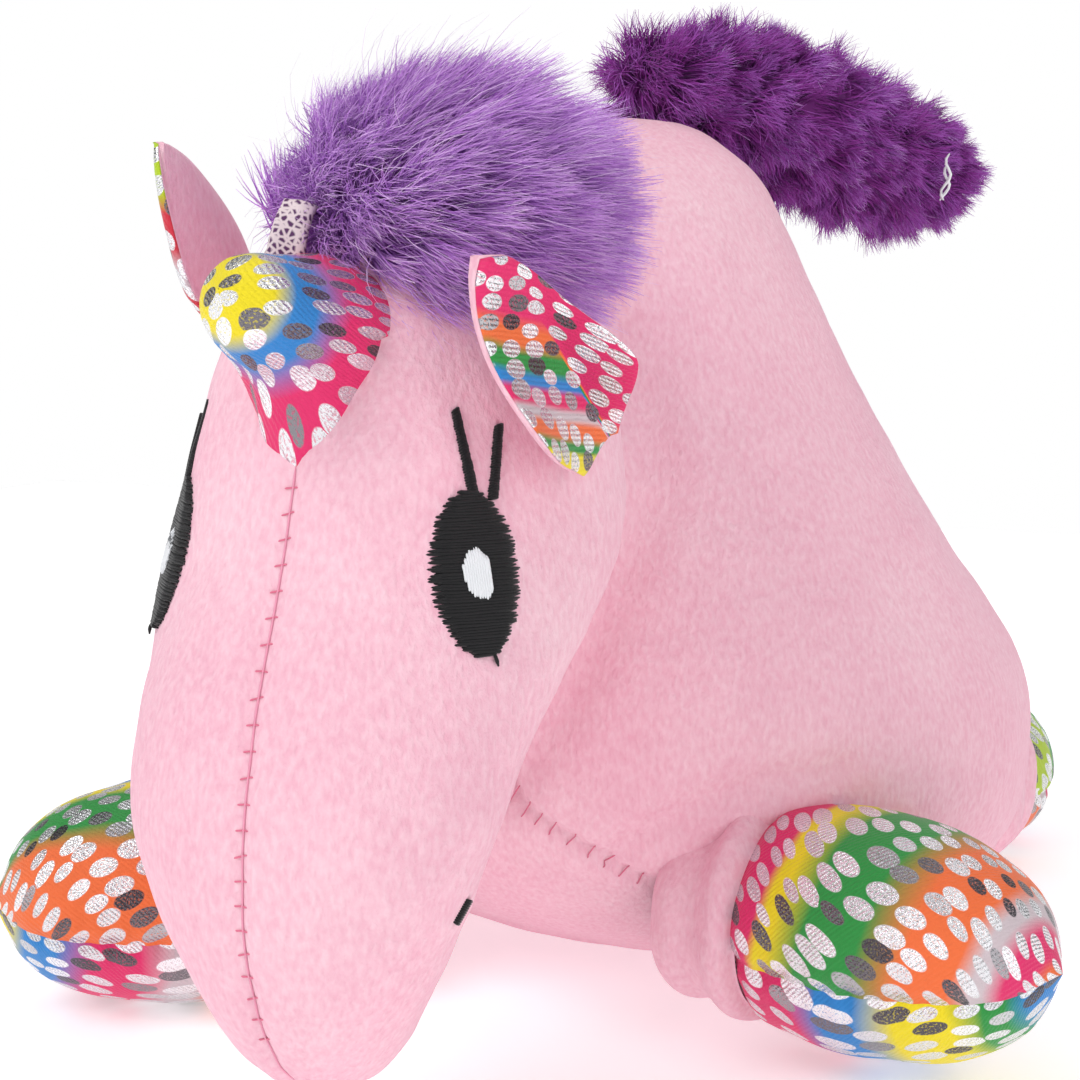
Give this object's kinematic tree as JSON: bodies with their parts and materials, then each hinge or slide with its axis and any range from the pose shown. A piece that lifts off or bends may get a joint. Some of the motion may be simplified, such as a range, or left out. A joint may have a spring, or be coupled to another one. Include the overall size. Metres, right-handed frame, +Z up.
{
  "type": "plush toy",
  "caption": "Lying plush unicorn with drooping head, soft horn, cupped ears, fur mane and tail and four foil-printed feet, hinged at its seams.",
  "frame": {"origin": "on the floor, under the middle of the toy's bounding box", "axes": "+Z up; the face looks along -Y; +X is the toy's left"},
  "size_m": [0.168, 0.2291, 0.1639],
  "materials": {
    "pink_plush": "short velvet pile",
    "foil_cloth": "printed satin with silver foil dots",
    "stuffing": "soft fibre filling",
    "mane_fur": "long soft fur",
    "knit_backing": "open knit",
    "tail_fur": "dense fur",
    "white_thread": "satin stitch",
    "black_thread": "satin stitch",
    "pink_thread": "sewing thread"
  },
  "bodies": {
    "torso": {"belly_panel": "pink_plush", "body_left_panel": "pink_plush", "body_right_panel": "pink_plush", "body_stuffing": "stuffing"},
    "head": {"eye_left_black": "black_thread", "eye_left_glint": "white_thread", "eye_left_lash_back": "black_thread", "eye_left_lash_front": "black_thread", "eye_right_black": "black_thread", "eye_right_glint": "white_thread", "eye_right_lash_back": "black_thread", "eye_right_lash_front": "black_thread", "head_left_panel": "pink_plush", "head_right_panel": "pink_plush", "head_seam_thread": "pink_thread", "head_stuffing": "stuffing", "mane_backing": "knit_backing", "mane_fur": "mane_fur", "mouth_stitch_left": "black_thread", "mouth_stitch_right": "black_thread"},
    "ear_left": {"ear_left_lining": "foil_cloth", "ear_left_outer": "pink_plush"},
    "ear_right": {"ear_right_lining": "foil_cloth", "ear_right_outer": "pink_plush"},
    "horn": {"horn_cover": "foil_cloth", "horn_stuffing": "stuffing"},
    "tail": {"tail_closing_thread": "white_thread", "tail_fur_cover": "tail_fur", "tail_stuffing": "stuffing"},
    "leg_front_left": {"leg_front_left_foot_sole": "foil_cloth", "leg_front_left_foot_upper": "foil_cloth", "leg_front_left_sleeve": "pink_plush", "leg_front_left_stuffing": "stuffing"},
    "leg_front_right": {"leg_front_right_foot_sole": "foil_cloth", "leg_front_right_foot_upper": "foil_cloth", "leg_front_right_sleeve": "pink_plush", "leg_front_right_stuffing": "stuffing"},
    "leg_hind_left": {"leg_hind_left_foot_sole": "foil_cloth", "leg_hind_left_foot_upper": "foil_cloth", "leg_hind_left_sleeve": "pink_plush", "leg_hind_left_stuffing": "stuffing"},
    "leg_hind_right": {"leg_hind_right_foot_sole": "foil_cloth", "leg_hind_right_foot_upper": "foil_cloth", "leg_hind_right_sleeve": "pink_plush", "leg_hind_right_stuffing": "stuffing"}
  },
  "joints": [
    {"name": "head_nod", "type": "hinge", "parent": "torso", "child": "head", "pos_m": [-0.0022, -0.0422, 0.084], "axis": [1, 0, 0], "range_deg": [-8, 10], "stiffness_Nm_per_rad": 0.25},
    {"name": "horn_flex", "type": "hinge", "parent": "head", "child": "horn", "pos_m": [-0.0027, -0.0872, 0.111], "axis": [1, 0, 0], "range_deg": [-10, 10], "stiffness_Nm_per_rad": 0.03},
    {"name": "tail_swing", "type": "hinge", "parent": "torso", "child": "tail", "pos_m": [0.0018, 0.0218, 0.152], "axis": [0, 0, 1], "range_deg": [-12, 12], "stiffness_Nm_per_rad": 0.05},
    {"name": "ear_left_flap", "type": "hinge", "parent": "head", "child": "ear_left", "pos_m": [0.0287, -0.0777, 0.0984], "axis": [0.3859, 0.6546, 0.65], "range_deg": [-4, 20], "stiffness_Nm_per_rad": 0.02},
    {"name": "leg_front_left_sweep", "type": "hinge", "parent": "torso", "child": "leg_front_left", "pos_m": [0.0338, -0.0222, 0.0212], "axis": [0, 0, 1], "range_deg": [-12, 12], "stiffness_Nm_per_rad": 0.05},
    {"name": "leg_hind_left_sweep", "type": "hinge", "parent": "torso", "child": "leg_hind_left", "pos_m": [0.0438, 0.0678, 0.02], "axis": [0, 0, 1], "range_deg": [-12, 12], "stiffness_Nm_per_rad": 0.05},
    {"name": "ear_right_flap", "type": "hinge", "parent": "head", "child": "ear_right", "pos_m": [-0.0302, -0.0647, 0.1115], "axis": [-0.1212, -0.8255, -0.5513], "range_deg": [-4, 20], "stiffness_Nm_per_rad": 0.02},
    {"name": "leg_front_right_sweep", "type": "hinge", "parent": "torso", "child": "leg_front_right", "pos_m": [-0.0422, -0.0332, 0.0192], "axis": [0, 0, 1], "range_deg": [-12, 12], "stiffness_Nm_per_rad": 0.05},
    {"name": "leg_hind_right_sweep", "type": "hinge", "parent": "torso", "child": "leg_hind_right", "pos_m": [-0.0482, 0.0678, 0.02], "axis": [0, 0, 1], "range_deg": [-12, 12], "stiffness_Nm_per_rad": 0.05}
  ]
}
